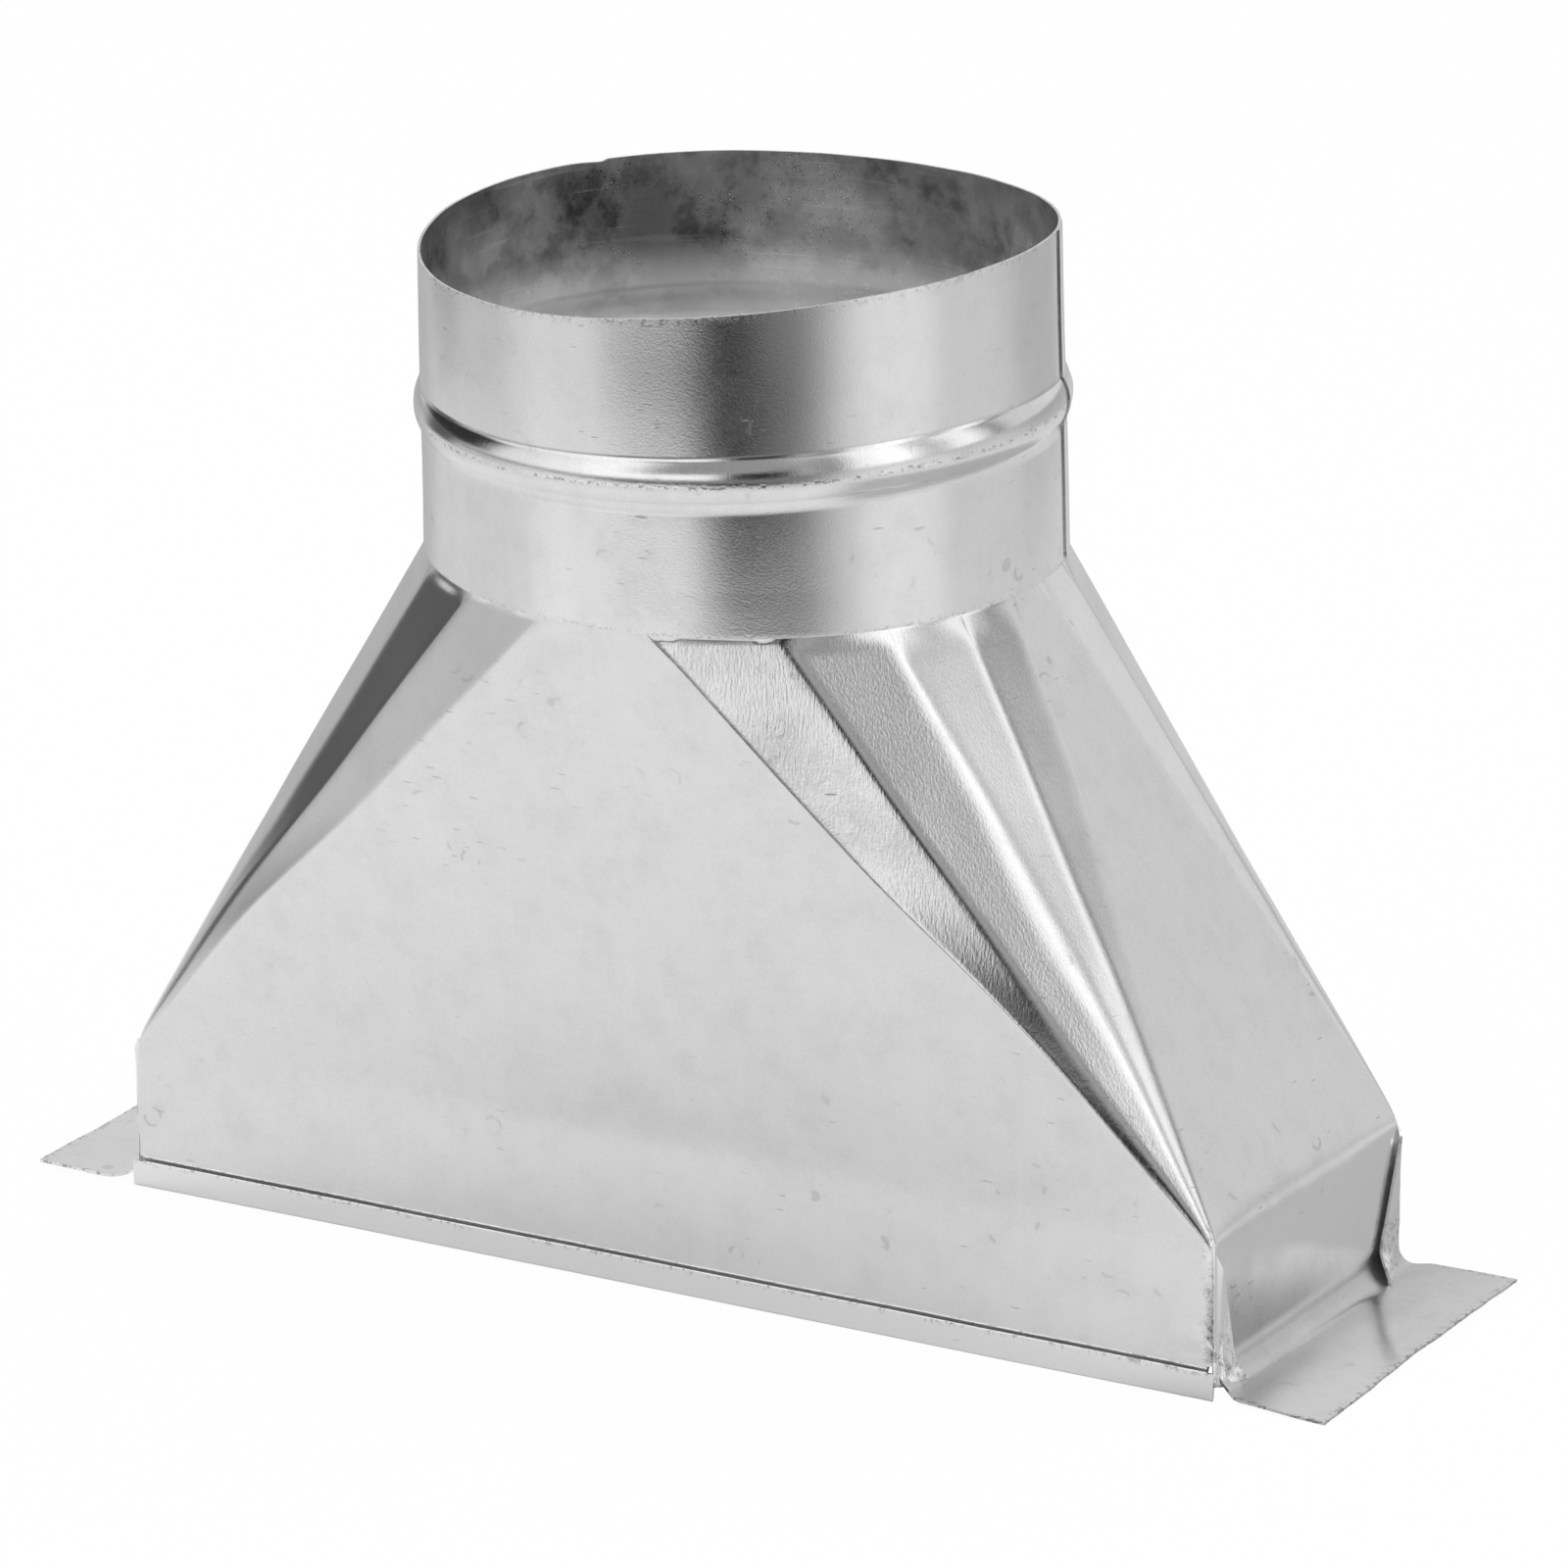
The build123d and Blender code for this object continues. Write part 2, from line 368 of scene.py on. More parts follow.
def makeInsideZinc():
    # duller and stained, with dried drops high on the back and fine lines round the wall; painted light
    # makes it lighter low down, and it is darker towards its left and right sides
    look = zinc["inside"]
    material, shader, place = startMaterial("galvanisedInside")
    cloud = place.noise(30, detail=5, roughness=0.6).band(0.30, 0.70)
    stain = place.noise(62, detail=4, roughness=0.65).band(0.46, 0.60)
    grain = place.noise(1500, detail=2)
    lines = place.noise(520, detail=2, stretch=(0.05, 0.05, 1)).band(0.60, 0.72)
    sprinkled = (place.axis("X").band(0.008, -0.014) * place.axis("Y").band(0.030, 0.050)
                 * place.axis("Z").band(0.222, 0.232) * place.noise(60, detail=1).band(0.44, 0.54))
    drop = place.cells(700).band(0.26, 0.16) * sprinkled
    wet = place.cells(700).band(0.42, 0.30) * sprinkled
    # painted light: the lower inside is lighter, and also less metallic
    lowPaintedLight = place.axis("Z").band(0.236, 0.222)
    aside = (place.axis("X") * place.axis("X")).band(0.0026, 0.0060)
    tone = (look["tone"] + lowPaintedLight * look["lowPaintedLight"] - aside * look["aside"]
            + (cloud - 0.5) * look["cloud"] - stain * look["stain"]
            + (grain - 0.5) * look["grain"] + lines * look["lines"]
            - wet * look["wet"] + drop * look["drop"])
    rough = look["roughness"] + (0.5 - cloud) * look["roughCloud"] + stain * look["roughStain"]
    relief = (grain * look["grainDepth"] + lines * look["lineDepth"]
              + drop * look["dropDepth"])
    finishMetal(shader, tone, look["metallic"] - lowPaintedLight * look["deepMetallic"], rough, relief,
                look["bump"])
    return material


outsideZinc = makeOutsideZinc()
insideZinc = makeInsideZinc()
print("sheet metal mixed")


sheet = 0.0007
mitreLimit = 1.4         # how far a sharp corner may stretch the sheet's thickness
innerFrom = -0.25        # a face that looks inwards by more than this is an inner one
sharpAngle = 35
lean = {
    # the real one isn't quite true: its round end sits off centre, leans left, and is cut aslant
    "baseRight": 0.00195, "baseBack": 0.00095,
    "leftOut": 0.0010, "leftOutFrom": 0.070, "leftOutOver": 0.06,
    "collarLean": 0.0243,
    "rimSlant": 0.052, "slantReach": 1.2,
    "rimRise": 0.00186, "rimRiseTurn": 37.8,        # its edge rises and dips twice round
    "oval": 0.00077, "ovalTurn": 113,
    "notchTurn": 143.5, "notchDepth": 0.0006, "notchFade": 8, "notchFrom": 0.94, "notchOver": 0.05,
}
joint = collarLow.z
rim = collarHigh.z


def smooth(value):
    value = min(max(value, 0), 1)
    return value * value * (3 - 2 * value)


def ripple(point, size, seed=0.0):
    return noise.noise((point + Vector((seed, seed, seed))) / size)


def spread(low, high, rows):
    # this many levels above low, evenly apart, the last one at high
    return [low + (high - low) * step / rows for step in range(1, rows + 1)]


def settle(point):
    # moves a point of the true object to where the real one has it
    slopeStart = body["slopeStart"]
    rise = min(max((point.z - slopeStart) / (joint - slopeStart), 0), 1)
    above = max(point.z - joint, 0)
    part = min(above / (rim - joint), 1)
    slanted = lean["rimSlant"] * point.x * min(above / (rim - joint), lean["slantReach"])
    turn = atan2(point.y, point.x)
    slanted += lean["rimRise"] * part * cos(2 * turn + radians(lean["rimRiseTurn"]))
    oval = lean["oval"] * part * cos(2 * turn + radians(lean["ovalTurn"]))
    past = (turn - radians(lean["notchTurn"])) / radians(lean["notchFade"])
    if 0 < past < 1:
        cut = smooth((part - lean["notchFrom"]) / lean["notchOver"])
        slanted -= lean["notchDepth"] * (1 - smooth(past)) * cut
    leftOut = lean["leftOut"] * smooth((-point.x - lean["leftOutFrom"]) / lean["leftOutOver"])
    moved = lean["baseRight"] * (1 - 2 * rise) - lean["collarLean"] * above
    return Vector((
        point.x + moved + oval * cos(turn) - leftOut,
        point.y + lean["baseBack"] * (1 - 2 * rise) + oval * sin(turn),
        point.z + slanted,
    ))


def thicken(bm, outward):
    # gives a skin its thickness, on the side away from outward(a face's centre), and marks the
    # inner faces for the duller material
    bmesh.ops.recalc_face_normals(bm, faces=bm.faces)
    bm.faces.ensure_lookup_table()
    probe = max(bm.faces, key=lambda face: face.calc_area())
    if probe.normal.dot(outward(probe.calc_center_median())) < 0:
        bmesh.ops.reverse_faces(bm, faces=bm.faces)
    bm.normal_update()
    skin = bm.faces[:]
    copyOf = bmesh.ops.duplicate(bm, geom=bm.verts[:] + bm.edges[:] + skin)["vert_map"]
    for vert in {vert for face in skin for vert in face.verts}:
        mitre = min(vert.calc_shell_factor(), mitreLimit)
        copyOf[vert].co = vert.co - vert.normal * sheet * mitre
    rims = [loop for face in skin for loop in face.loops if loop.edge.is_boundary]
    bmesh.ops.reverse_faces(bm, faces=list(set(bm.faces) - set(skin)))
    for loop in rims:
        start, end = loop.vert, loop.link_loop_next.vert
        bm.faces.new((end, start, copyOf[start], copyOf[end]))
    bm.normal_update()
    for face in bm.faces:
        way = outward(face.calc_center_median()).normalized()
        face.material_index = 1 if face.normal.dot(way) < innerFrom else 0


def makePiece(name, bm, node):
    mesh = bpy.data.meshes.new(name)
    bm.to_mesh(mesh)
    bm.free()
    mesh.shade_smooth()
    mesh.set_sharp_from_angle(angle=radians(sharpAngle))
    mesh.materials.append(outsideZinc)
    mesh.materials.append(insideZinc)
    piece = bpy.data.objects.new(name, mesh)
    bpy.context.scene.collection.objects.link(piece)
    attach(piece, "root")
    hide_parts(node)
    print("made", name, len(mesh.polygons), "faces")


body = {
    "halfLength": 0.153, "halfWidth": 0.051, "slopeStart": 0.038,
    "cornerRadius": 0.0019,
    "wallFoot": 0.0067,                        # the end walls turn out into the flanges here
    "neckRadius": 0.0788,
    "footTurns": [0, 18, 35, 56, 90],          # where a corner's folds start on its rounding
    # where they end on the neck, as angles from the long axis, for each corner from the back right
    "creases": [
        [5, 18, 35, 56, 77],
        [5, 18, 35, 56, 77],
        [5, 21, 42.2, 60.8, 80.4],
        [5.6, 19.4, 35.5, 54.8, 78.6],
    ],
    # how far some folds run off a straight line, round the body: (corner, fold): low down and high up
    "strays": {
        (2, 2): (-0.0029, 0), (2, 3): (-0.0037, -0.0010), (2, 4): (-0.0036, -0.0010),
        (3, 4): (0.0035, -0.0011), (3, 3): (-0.0009, -0.0008), (3, 2): (0.0026, 0.0016),
        (3, 1): (0.0022, 0.0010), (3, 0): (0.0030, 0.0030),
    },
    "strayLow": 0.32, "strayHigh": 0.70,       # where on a fold these lie, as shares of the slope
    "softness": [0.0030, 0.0014, 0.0015, 0.0014, 0.0010],        # of each fold at the neck
    "footSoftness": [0.0040, 0.0030, 0.0080, 0.0020, 0.0010],    # and at the skirt
    "kneeSoftness": 0.003, "endKneeSoftness": 0.008,             # of the bend over the skirt
    "flatBow": 0.012,                          # height in which the walls round up to the neck
    "facetBows": [0.010, 0.009, 0.005, 0.0012],
    "softShare": 0.45,                         # a fold's softness takes no more of a facet
    "facetColumns": 12, "longColumns": 64, "shortColumns": 48,
    "wallRows": 14, "kneeRows": 8, "kneeStep": 0.0015, "kneeHalf": 0.006,
    "slopeRows": 44, "bowRows": 12, "neckStep": 0.003,
    # how strongly the press combed each facet, from the back right's first one round
    "combing": [
        0.2, 0.5, 0.7, 0.7, 0,
        0.2, 0.1, 0.1, 0.2, 0,
        0.2, 0.1, 0.1, 0.2, 0,
        1.0, 1.0, 0.5, 0.2, 0,
    ],
    "combFoot": 0.030, "combFade": 0.02,
    "cornerWorn": 0.6,
    # knocks and waves: their depth, and their size along the sheet
    "dent": 0.00012, "dentSize": 0.022, "broadDent": 0.00036, "broadDentSize": 0.075,
    "endWave": 0.00024, "endWaveSize": 0.011, "endWaveLong": 0.09,
    "endBulge": 0.0014, "bulgeFrom": 0.030, "bulgeHigh": 0.140,
    "crumple": 0.0005, "crumpleSize": 0.0045,  # of the skirt's front right corner
    "crumpleRight": 0.140, "crumpleFront": 0.044, "crumpleTop": 0.036,
    "knockFade": 0.02,                         # they end this far under the collar
}
perCorner = len(body["footTurns"])
leftEnd, rightEnd = 2 * perCorner - 1, 4 * perCorner - 1     # the end walls among the facets

folds = []
for corner, creases in enumerate(body["creases"]):
    across, along = [(1, 1), (-1, 1), (-1, -1), (1, -1)][corner]
    order = range(perCorner) if corner % 2 == 0 else range(perCorner - 1, -1, -1)
    for index in order:
        footTurn, headTurn = radians(body["footTurns"][index]), radians(creases[index])
        radius = body["cornerRadius"]
        foot = Vector((
            across * (body["halfLength"] - radius + radius * cos(footTurn)),
            along * (body["halfWidth"] - radius + radius * sin(footTurn)),
        ))
        head = Vector((across * cos(headTurn), along * sin(headTurn))) * body["neckRadius"]
        between = (footTurn + headTurn) / 2
        folds.append({
            "foot": foot, "head": head, "turn": atan2(head.y, head.x),
            "softness": body["softness"][index], "footSoftness": body["footSoftness"][index],
            "stray": body["strays"].get((corner, index), (0, 0)),
            "way": Vector((-along * sin(between), across * cos(between))),
        })


def isWall(index):
    return index % perCorner == perCorner - 1


columns = []
for index in range(len(folds)):
    count = body["facetColumns"]
    if isWall(index):
        count = body["shortColumns"] if index in (leftEnd, rightEnd) else body["longColumns"]
    columns += [(index, 0.5 - 0.5 * cos(pi * step / count)) for step in range(count)]


def foldPlace(fold, share):
    # a fold's place at this share of the slope
    low, high = fold["stray"]
    lowAt, highAt = body["strayLow"], body["strayHigh"]
    stray = low * smooth(1 - abs(share - lowAt) / lowAt)
    stray += high * smooth(1 - abs(share - highAt) / (1 - highAt))
    return fold["foot"].lerp(fold["head"], share) + fold["way"] * stray


def bowHeight(index):
    if isWall(index):
        return body["flatBow"]
    corner, place = divmod(index, perCorner)
    return body["facetBows"][place if corner % 2 == 0 else perCorner - 2 - place]


def wallPoint(column, height):
    # a point of the body's outer face, before it settles
    index, part = columns[column]
    knee = body["kneeSoftness"]
    if index == rightEnd:
        knee += (body["endKneeSoftness"] - knee) * sin(pi * part)
    slope = joint - body["slopeStart"]
    above = height - body["slopeStart"]
    share = min((above + sqrt(above * above + knee ** 2)) / 2 / slope, 1)
    if height <= body["wallFoot"]:
        share = 0
    around = [folds[(index + step) % len(folds)] for step in (-1, 0, 1, 2)]
    before, start, end, after = [foldPlace(fold, share) for fold in around]
    width = (end - start).length
    place = start.lerp(end, part)
    for corner, inner, outer, fold, reach in (
        (start, end, before, around[1], part * width),
        (end, start, after, around[2], (1 - part) * width),
    ):
        soft = fold["footSoftness"] + (fold["softness"] - fold["footSoftness"]) * share
        soft = min(soft, width * body["softShare"], (outer - corner).length * body["softShare"])
        if reach < soft:
            near = corner.lerp(outer, soft / (outer - corner).length)
            far = corner.lerp(inner, soft / width)
            way = (reach / soft + 1) / 2
            place = near * (1 - way) ** 2 + corner * 2 * way * (1 - way) + far * way ** 2
    bow = smooth((height - joint) / bowHeight(index) + 1)
    if bow > 0:
        first, last = around[1]["turn"], around[2]["turn"]
        turn = first + ((last - first) % tau) * part
        arc = Vector((cos(turn), sin(turn))) * body["neckRadius"]
        if share == 1:
            place = place.lerp(arc, bow)
        else:
            place += (arc - around[1]["head"].lerp(around[2]["head"], part)) * bow
    return Vector((place.x, place.y, height))


outwards = []
for column in range(len(columns)):
    before, after = wallPoint(column - 1, 0.1), wallPoint((column + 1) % len(columns), 0.1)
    outwards.append(Vector((after.y - before.y, before.x - after.x, 0)).normalized())


def dented(column, height):
    # the same point with the waves and knocks of a handled sheet
    point = wallPoint(column, height)
    index = columns[column][0]
    free = smooth((joint - height) / body["knockFade"])
    shift = body["dent"] * ripple(point, body["dentSize"])
    shift += body["broadDent"] * ripple(point, body["broadDentSize"], 3.0)
    if index == rightEnd:
        along = Vector((0, point.y, point.z * body["endWaveLong"]))
        shift += body["endWave"] * ripple(along, body["endWaveSize"], 7.0)
        rise = min(max((height - body["bulgeFrom"]) / body["bulgeHigh"], 0), 1)
        shift += body["endBulge"] * sin(pi * rise) * smooth((point.y - 0.005) / 0.05)
    corner = smooth((point.x - body["crumpleRight"]) / 0.010)
    corner *= smooth((-point.y - body["crumpleFront"]) / 0.005)
    corner *= smooth((body["crumpleTop"] - height) / 0.010)
    shift += body["crumple"] * corner * ripple(point, body["crumpleSize"], 11.0)
    return point + outwards[column] * shift * free


hem = {
    "foot": [0.0045, 0.0025],                  # the wall's last levels over the turn
    "turn": 0.0001, "turnSteps": 8, "flattened": 0.6,
    "frontGap": 0.0011, "backGap": 0.0019, "backTop": 0.0007,
    "top": 0.0059, "rows": 5,
    "wave": 0.00022, "waveSize": 0.018,
    "beyond": 0.0018, "beyondFrom": 0.143,     # the front one runs on past the left corner
    "closing": 0.0025,                         # and up to the right one
    # below zero, the hem's dull value paints light on its turned-up strip
    "dull": -0.56,
    "sag": 0.0006, "sagFrom": -0.10, "sagOver": 0.25, "sagUnder": 0.004,
}
flange = {
    "radius": 0.0060, "bendSteps": 8, "rows": 12,
    "opensFrom": 0.002, "opensOver": 0.006,    # where it widens past the skirt's corners
    "rightWidth": 0.0313, "leftWidth": 0.0278,
    "overhang": 0.0020, "leftBack": 0.0042,    # the left one is longer at the back
    "wave": 0.0005, "waveSize": 0.030, "steadyWave": 0.4,
    "droop": 0.0018, "droopFrom": 0.005, "droopOver": 0.055,
    "ragged": 0.00025, "raggedSize": 0.006, "raggedOver": 0.003,
    "wornEdge": 0.0025, "wornSide": 0.002,
    # painted shade on the right flange, strongest at its bend and fading outwards, which also makes it
    # rougher; painted light over the left flange
    "dull": 0.6, "leftPaintedLight": -0.3,
}


def hemRoute(gap, topGap):
    # out from the wall and up: (distance out, height)
    route = [(0, height) for height in hem["foot"] + [hem["turn"]]]
    for angle in spread(0, pi, hem["turnSteps"]):
        depth = min(sin(angle), hem["flattened"])
        route.append((gap / 2 * (1 - cos(angle)), hem["turn"] - gap / 2 * depth))
    for share in spread(0, 1, hem["rows"]):
        out = gap + (topGap - gap) * smooth(share)
        route.append((out, hem["turn"] + (hem["top"] - hem["turn"]) * share))
    return route


def flangeRoute(width):
    radius = flange["radius"]
    route = [(radius * (1 - cos(angle)), sheet + radius - radius * sin(angle))
             for angle in spread(0, pi / 2, flange["bendSteps"])]
    return route + [(out, sheet) for out in spread(radius, width, flange["rows"])]


def hemPlace(foot, sign, out, height):
    raised = smooth((height - hem["turn"]) / (hem["top"] - hem["turn"]))
    wave = hem["wave"] * raised * ripple(Vector((foot.x, 0, 0)), hem["waveSize"], 5.0)
    along = foot.x
    if sign < 0:
        turned = smooth(out / hem["frontGap"])
        along -= hem["beyond"] * turned * smooth((-foot.x - hem["beyondFrom"]) / 0.010)
        along += hem["closing"] * turned * smooth((foot.x - hem["beyondFrom"]) / 0.008)
    sag = hem["sag"] * smooth((foot.x - hem["sagFrom"]) / hem["sagOver"])
    sag *= smooth((hem["sagUnder"] - height) / 0.003 + (out > 0))
    return Vector((along, foot.y + sign * (out + wave), height + 0.5 * wave - sag))


def flangePlace(foot, sign, out, height, width):
    # the place of a point of the flange, and how worn it is
    opened = smooth((out - flange["opensFrom"]) / flange["opensOver"])
    widening = 1 + opened * ((body["halfWidth"] + flange["overhang"])
                             / (body["halfWidth"] - body["cornerRadius"]) - 1)
    place = Vector((foot.x + sign * out, foot.y * widening, height))
    if sign < 0:
        place.y += flange["leftBack"] * opened * smooth(place.y / 0.050)
    rest = smooth((out - flange["radius"]) / (width - flange["radius"]))
    pastSide = abs(foot.y * widening) - body["halfWidth"] - flange["overhang"]
    edge = max(smooth((out - width) / flange["wornEdge"] + 1),
               opened * smooth(pastSide / flange["wornSide"] + 1))
    place.z += flange["wave"] * rest * (flange["steadyWave"] + ripple(place, flange["waveSize"], 9.0))
    if sign > 0:
        place.z -= flange["droop"] * rest * smooth((flange["droopFrom"] - place.y) / flange["droopOver"])
    ragged = ripple(Vector((0, place.y, 0)), flange["raggedSize"])
    place.x += flange["ragged"] * smooth((out - width) / flange["raggedOver"] + 1) * ragged
    return place, edge


def extrudeRing(bm, edges):
    made = bmesh.ops.extrude_edge_only(bm, edges=edges)["geom"]
    verts = [item for item in made if isinstance(item, bmesh.types.BMVert)]
    edges = [item for item in made if isinstance(item, bmesh.types.BMEdge) and item.is_boundary]
    return verts, edges


paintedEndSkirt = {
    # painted shade on the right end's skirt at its front, which is also made rougher there, and painted
    # light at its back, with a slanting edge between
    "from": 0.150, "top": 0.042,
    "frontTop": 0.036, "slant": 0.32, "slantFrom": -0.040, "frontSoft": 0.022,
    "backFrom": 0.045, "backSoft": 0.05,
    "dull": 1.1, "bright": 0.45,
}


# painted shade at the front of the right end's skirt and painted light at its back
def endSkirtPaintedShade(point):
    skirt = smooth((point.x - paintedEndSkirt["from"]) / 0.002) * smooth((paintedEndSkirt["top"] - point.z) / 0.008)
    edge = paintedEndSkirt["frontTop"] - (point.y - paintedEndSkirt["slantFrom"]) * paintedEndSkirt["slant"]
    front = smooth((edge - point.z) / paintedEndSkirt["frontSoft"])
    front *= smooth((paintedEndSkirt["backFrom"] - point.y) / paintedEndSkirt["backSoft"])
    return skirt * (paintedEndSkirt["dull"] * front - paintedEndSkirt["bright"] * (1 - front))


def bodyLevels():
    # closest together round the bend over the skirt and under the collar
    kneeFoot = body["slopeStart"] - body["kneeHalf"]
    levels = spread(body["wallFoot"], kneeFoot, body["wallRows"])
    levels += [kneeFoot + body["kneeStep"] * step for step in range(1, body["kneeRows"] + 1)]
    levels += spread(levels[-1], joint - body["flatBow"], body["slopeRows"])
    levels += spread(joint - body["flatBow"], joint, body["bowRows"])
    return levels + [joint + body["neckStep"], bodyHigh.z]


def makeBody():
    bm = bmesh.new()
    columnOf = bm.verts.layers.int.new("column")
    combed, worn = bm.verts.layers.float.new("combed"), bm.verts.layers.float.new("worn")
    dull = bm.verts.layers.float.new("dull")
    ring = bmesh.ops.create_circle(bm, segments=len(columns), radius=body["halfLength"])["verts"]
    for index, vert in enumerate(ring):
        vert[columnOf] = index
        vert.co = dented(index, body["wallFoot"])
    lowest = bm.edges[:]
    edges = lowest
    for height in bodyLevels():
        verts, edges = extrudeRing(bm, edges)
        for vert in verts:
            index = columns[vert[columnOf]][0]
            vert.co = dented(vert[columnOf], height)
            vert[combed] = body["combing"][index] * smooth((height - body["combFoot"]) / body["combFade"])
            corner = smooth((vert.co.x - 0.148) / 0.004) * smooth((-vert.co.y - 0.047) / 0.003)
            vert[worn] = corner * body["cornerWorn"]
            vert[dull] = endSkirtPaintedShade(vert.co)

    def onSide(edge, side):
        # side 0 is the back, 1 the left, 2 the front and 3 the right
        places = [columns[vert[columnOf]] for vert in edge.verts]
        wall, nextFold = perCorner * side + perCorner - 1, perCorner * (side + 1) % len(folds)
        return any(index == wall for index, part in places) and all(
            index == wall or (index == nextFold and part == 0) for index, part in places)

    for side in range(4):
        edges = [edge for edge in lowest if onSide(edge, side)]
        isLong = side % 2 == 0
        sign = 1 if side in (0, 3) else -1
        width = flange["rightWidth"] if side == 3 else flange["leftWidth"]
        if isLong:
            gaps = [hem["backGap"], hem["backTop"]] if side == 0 else [hem["frontGap"]] * 2
        for out, height in (hemRoute(*gaps) if isLong else flangeRoute(width)):
            verts, edges = extrudeRing(bm, edges)
            for vert in verts:
                foot = dented(vert[columnOf], body["wallFoot"])
                if isLong:
                    vert.co = hemPlace(foot, sign, out, height)
                    vert[worn] = smooth((height - hem["top"]) / 0.0015 + 1)
                    vert[dull] = hem["dull"] * smooth(out / gaps[0])
                else:
                    vert.co, vert[worn] = flangePlace(foot, sign, out, height, width)
                    vert[dull] = flange["leftPaintedLight"]
                    if sign > 0:
                        vert[dull] = flange["dull"] * (1 - smooth(out / width))
    for vert in bm.verts:
        vert.co = settle(vert.co)
    thicken(bm, lambda place: Vector((place.x, place.y, 0)))
    makePiece("foldedBody", bm, "transition_body")


makeBody()


tab = {
    # how wide a tab is at each height, from its foot up
    "frontRight": [(0, 0.0112), (0.0037, 0.0086), (0.0143, 0.0059), (0.0305, 0.0018), (0.037, 0)],
    "backRight": [
        (0, 0.0165), (0.0045, 0.0145), (0.0076, 0.0128), (0.0147, 0.0098), (0.026, 0.0052), (0.038, 0),
    ],
    "foot": 0.0012, "top": 0.0378, "fromCorner": 0.0008,
    "sunk": 0.0004, "clear": 0.0005, "rootWidth": 0.0018, "standOff": 0.0006,
    "flareTop": 0.009, "rightFlare": 0.0046, "frontFlare": 0.0026,
    # the tabs' dull value below zero paints light on them
    "crumple": 0.0005, "crumpleSize": 0.006, "wornTop": 0.020, "worn": 0.8, "dull": -0.5,
    "columns": 12, "rows": 32,
}


def widthAt(widths, height):
    for (low, narrow), (high, wide) in zip(widths, widths[1:]):
        if height <= high:
            return narrow + (wide - narrow) * max(height - low, 0) / (high - low)
    return 0


def makeTab(name, across, along, widths, flare):
    bm = bmesh.new()
    worn, dull = bm.verts.layers.float.new("worn"), bm.verts.layers.float.new("dull")
    bmesh.ops.create_grid(bm, x_segments=tab["columns"], y_segments=tab["rows"], size=1)
    for vert in bm.verts:
        part = (vert.co.x + 1) / 2
        height = tab["foot"] + (vert.co.y + 1) / 2 * (tab["top"] - tab["foot"])
        width = widthAt(widths, height) * part
        root = smooth(width / tab["rootWidth"])
        lift = sheet + tab["clear"] + tab["standOff"] * part
        lift += flare * part * smooth((tab["flareTop"] - height) / tab["flareTop"])
        out = body["halfLength"] - tab["sunk"] + lift * root
        place = Vector((across * out, along * (body["halfWidth"] - tab["fromCorner"] - width), height))
        crumple = abs(ripple(place, tab["crumpleSize"], 2.0)) * smooth((0.024 - height) / 0.01)
        place.x += across * tab["crumple"] * root * crumple
        vert[worn] = smooth((tab["wornTop"] - height) / 0.010) * tab["worn"]
        vert[dull] = tab["dull"]
        vert.co = place
    bmesh.ops.remove_doubles(bm, verts=bm.verts, dist=0.00002)
    for vert in bm.verts:
        vert.co = settle(vert.co)
    thicken(bm, lambda place: Vector((place.x, 0, 0)))
    makePiece(name, bm, "transition_body")


makeTab("frontRightTab", 1, -1, tab["frontRight"], tab["frontFlare"])
makeTab("backRightTab", 1, 1, tab["backRight"], tab["rightFlare"])
makeTab("frontLeftTab", -1, -1, tab["backRight"], tab["rightFlare"])
makeTab("backLeftTab", -1, 1, tab["frontRight"], tab["frontFlare"])


seam = {
    "width": 0.010, "foot": 0.0072, "underCollar": 0.0015, "standOff": 0.00004,
    "columns": 6, "rows": 60,
}


def makeSeam():
    # the body's own overlap, up the middle of its left end
    bm = bmesh.new()
    bmesh.ops.create_grid(bm, x_segments=seam["columns"], y_segments=seam["rows"], size=1)
    leftMiddle = columns.index((leftEnd, 0.5 - 0.5 * cos(pi * 0.5)))
    for vert in bm.verts:
        height = seam["foot"] + (vert.co.y + 1) / 2 * (joint - seam["underCollar"] - seam["foot"])
        wall = wallPoint(leftMiddle, height)
        vert.co = (wall.x - sheet - seam["standOff"], vert.co.x * seam["width"] / 2, height)
    for vert in bm.verts:
        vert.co = settle(vert.co)
    thicken(bm, lambda place: Vector((place.x, 0, 0)))
    makePiece("bodySeam", bm, "transition_body")


makeSeam()


bead = {
    "middle": 0.0383, "half": 0.0054, "depth": 0.0017, "steps": 26,
    "crestBelow": 0.0006, "crestHalf": 0.0009,      # the worn line along it
}
collar = {
    "radius": 0.0796, "steps": 256, "lapSteps": 10,
    "footHeights": [0.0, 0.0005, 0.0012, 0.004, 0.008],
    "lapFrom": 19, "lapLength": 0.012, "lapLift": 0.0003, "lapSpring": 0.5,
    "neckMark": 0.00002, "neckMarkTop": 0.0105,     # the neck shows through as a faint ridge
    "dent": 0.00022, "dentSize": 0.035, "rimWave": 0.0002, "rimWaveSize": 0.020,
    "wornFoot": 0.0012, "edgeWorn": 0.5,
}
millimetre = 0.001


def beadProfile():
    # a round swell between two sharp creases: (height over the joint, how far out)
    half, depth = bead["half"], bead["depth"]
    radius = (half * half + depth * depth) / 2 / depth
    opening = atan2(half, radius - depth)
    for step in range(bead["steps"] + 1):
        angle = opening * (2 * step / bead["steps"] - 1)
        yield bead["middle"] + radius * sin(angle), radius * cos(angle) - radius + depth


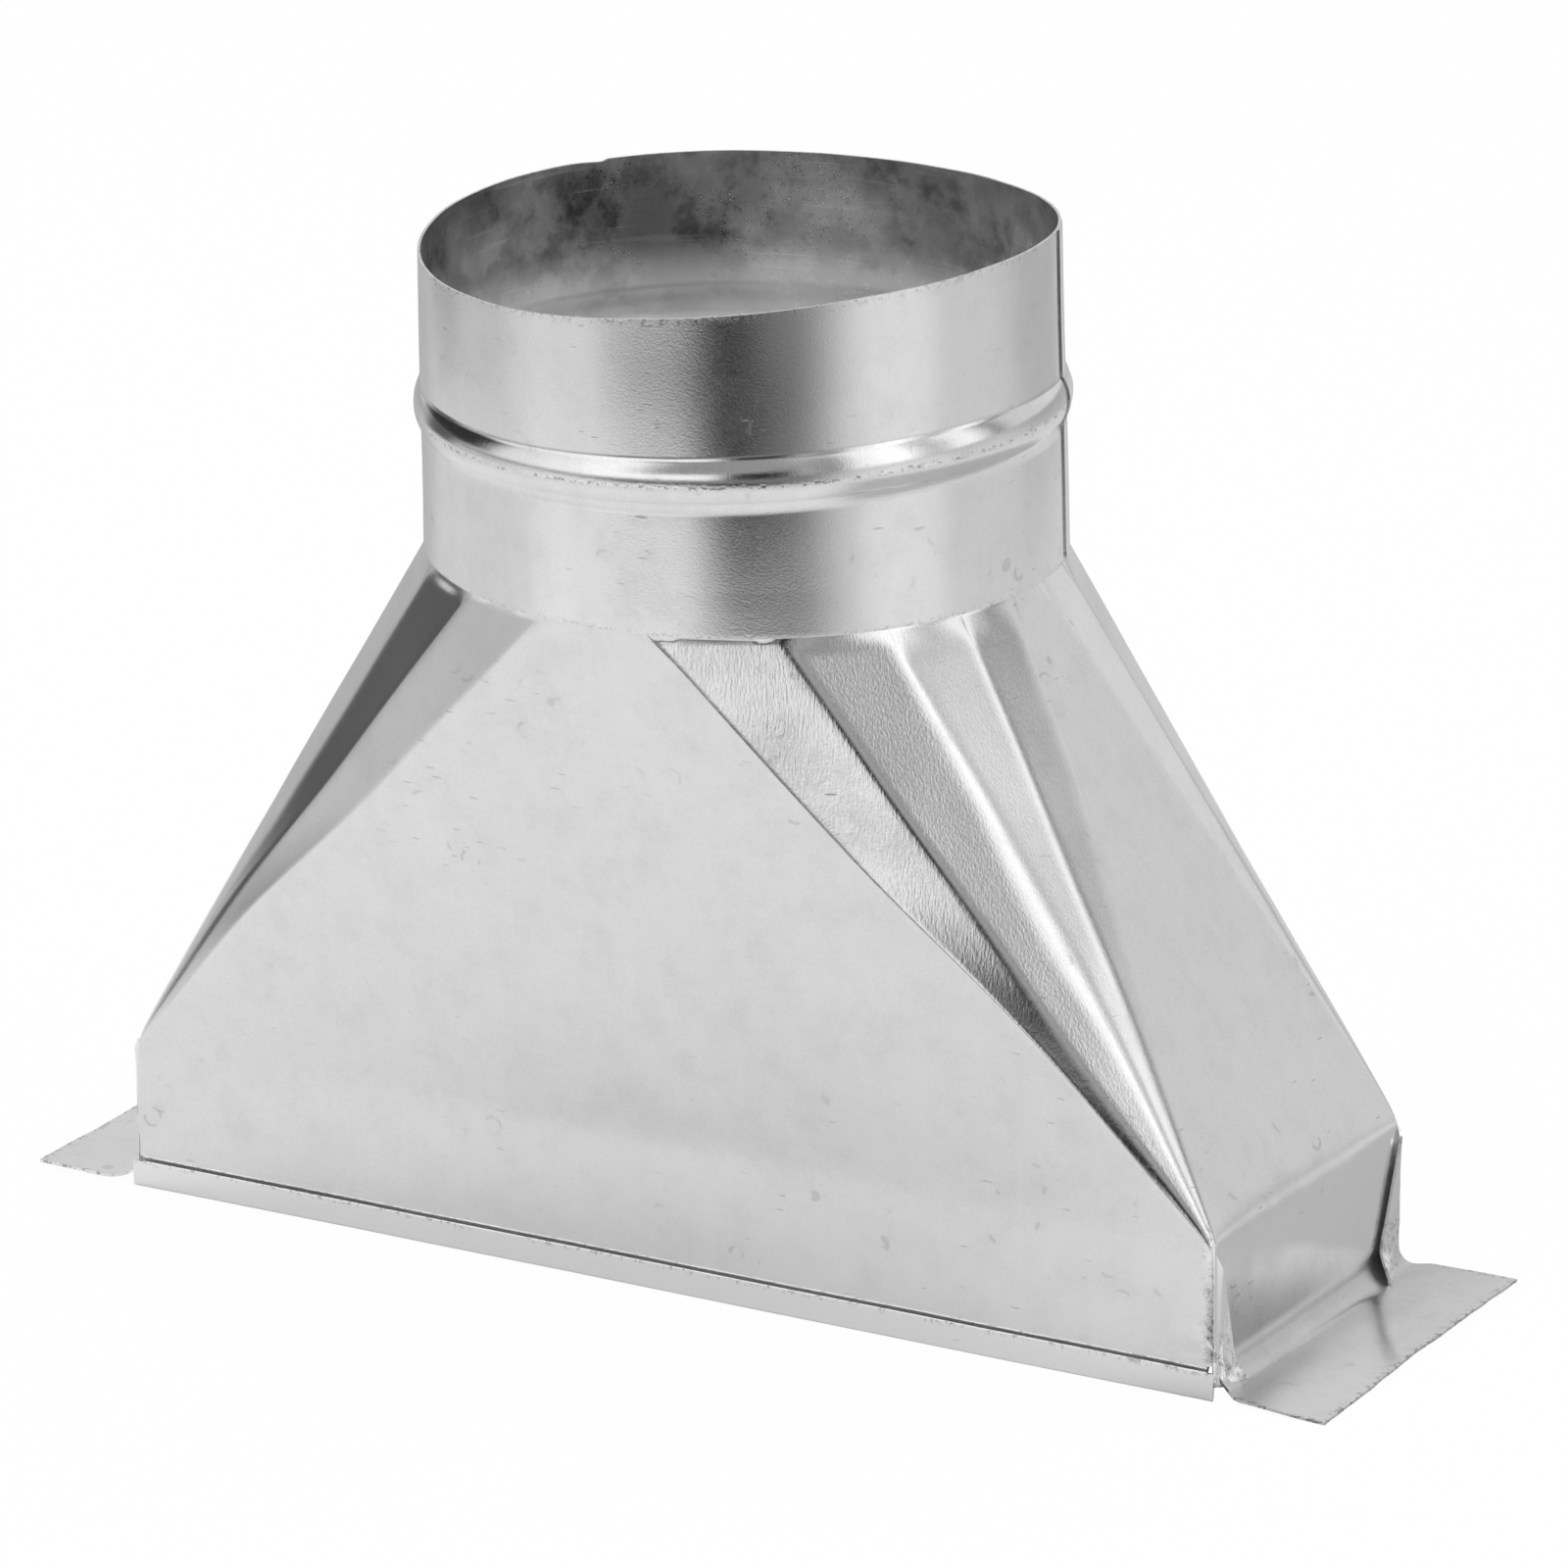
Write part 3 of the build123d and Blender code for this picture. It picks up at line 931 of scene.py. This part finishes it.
def collarProfile(bm, worn):
    # the strip's outer line as edges, from the joint to the rim
    low, high = bead["middle"] - bead["half"], bead["middle"] + bead["half"]
    places = [(height, 0.0) for height in collar["footHeights"] + [collar["neckMarkTop"]]]
    places += [(height * millimetre, 0.0) for height in range(12, int(low / millimetre), 2)]
    places += beadProfile()
    places += [(height * millimetre, 0.0) for height in range(int(high / millimetre) + 2, 78, 2)]
    places.append((rim - joint, 0.0))
    verts = []
    for height, out in places:
        out += collar["neckMark"] * (0 < height < collar["neckMarkTop"])
        verts.append(bm.verts.new((collar["radius"] + out, 0, joint + height)))
        crest = smooth(1 - abs(height - bead["middle"] + bead["crestBelow"]) / bead["crestHalf"])
        foot = smooth(1 - height / collar["wornFoot"]) * collar["edgeWorn"]
        verts[-1][worn] = max(crest, foot, collar["edgeWorn"] * (height == rim - joint))
    return verts + [bm.edges.new(pair) for pair in zip(verts, verts[1:])]


def knock(point):
    # shallow dents in the rolled strip, and a rim that isn't cut quite even
    flat = Vector((point.x, point.y, 0))
    part = (point.z - joint) / (rim - joint)
    shift = collar["dent"] * ripple(point, collar["dentSize"], 4.0)
    rise = collar["rimWave"] * smooth((part - 0.9) / 0.1)
    rise *= ripple(flat, collar["rimWaveSize"], 8.0)
    return point + flat.normalized() * shift + Vector((0, 0, rise))


def makeCollar():
    bm = bmesh.new()
    profile = collarProfile(bm, bm.verts.layers.float.new("worn"))
    bmesh.ops.spin(bm, geom=profile, cent=(0, 0, 0), axis=(0, 0, 1), angle=tau,
                   steps=collar["steps"], use_merge=True, use_duplicate=False)
    bmesh.ops.remove_doubles(bm, verts=bm.verts, dist=0.00001)
    for vert in bm.verts:
        vert.co = settle(knock(vert.co))
    thicken(bm, lambda place: Vector((place.x, place.y, 0)))
    makePiece("collarWall", bm, "round_collar")


def makeCollarLap():
    bm = bmesh.new()
    profile = collarProfile(bm, bm.verts.layers.float.new("worn"))
    lapFrom = radians(collar["lapFrom"])
    lapTurn = collar["lapLength"] / collar["radius"]
    bmesh.ops.rotate(bm, verts=bm.verts, cent=(0, 0, 0), matrix=Matrix.Rotation(lapFrom, 3, "Z"))
    bmesh.ops.spin(bm, geom=profile, cent=(0, 0, 0), axis=(0, 0, 1), angle=lapTurn,
                   steps=collar["lapSteps"], use_merge=False, use_duplicate=False)
    for vert in bm.verts:
        flat = Vector((vert.co.x, vert.co.y, 0))
        along = (atan2(flat.y, flat.x) - lapFrom) / lapTurn
        lift = collar["lapLift"] * (1 + collar["lapSpring"] * (1 - smooth(along / 0.6)))
        vert.co = settle(knock(vert.co) + flat.normalized() * lift)
    thicken(bm, lambda place: Vector((place.x, place.y, 0)))
    makePiece("collarLap", bm, "round_collar")


makeCollar()
makeCollarLap()
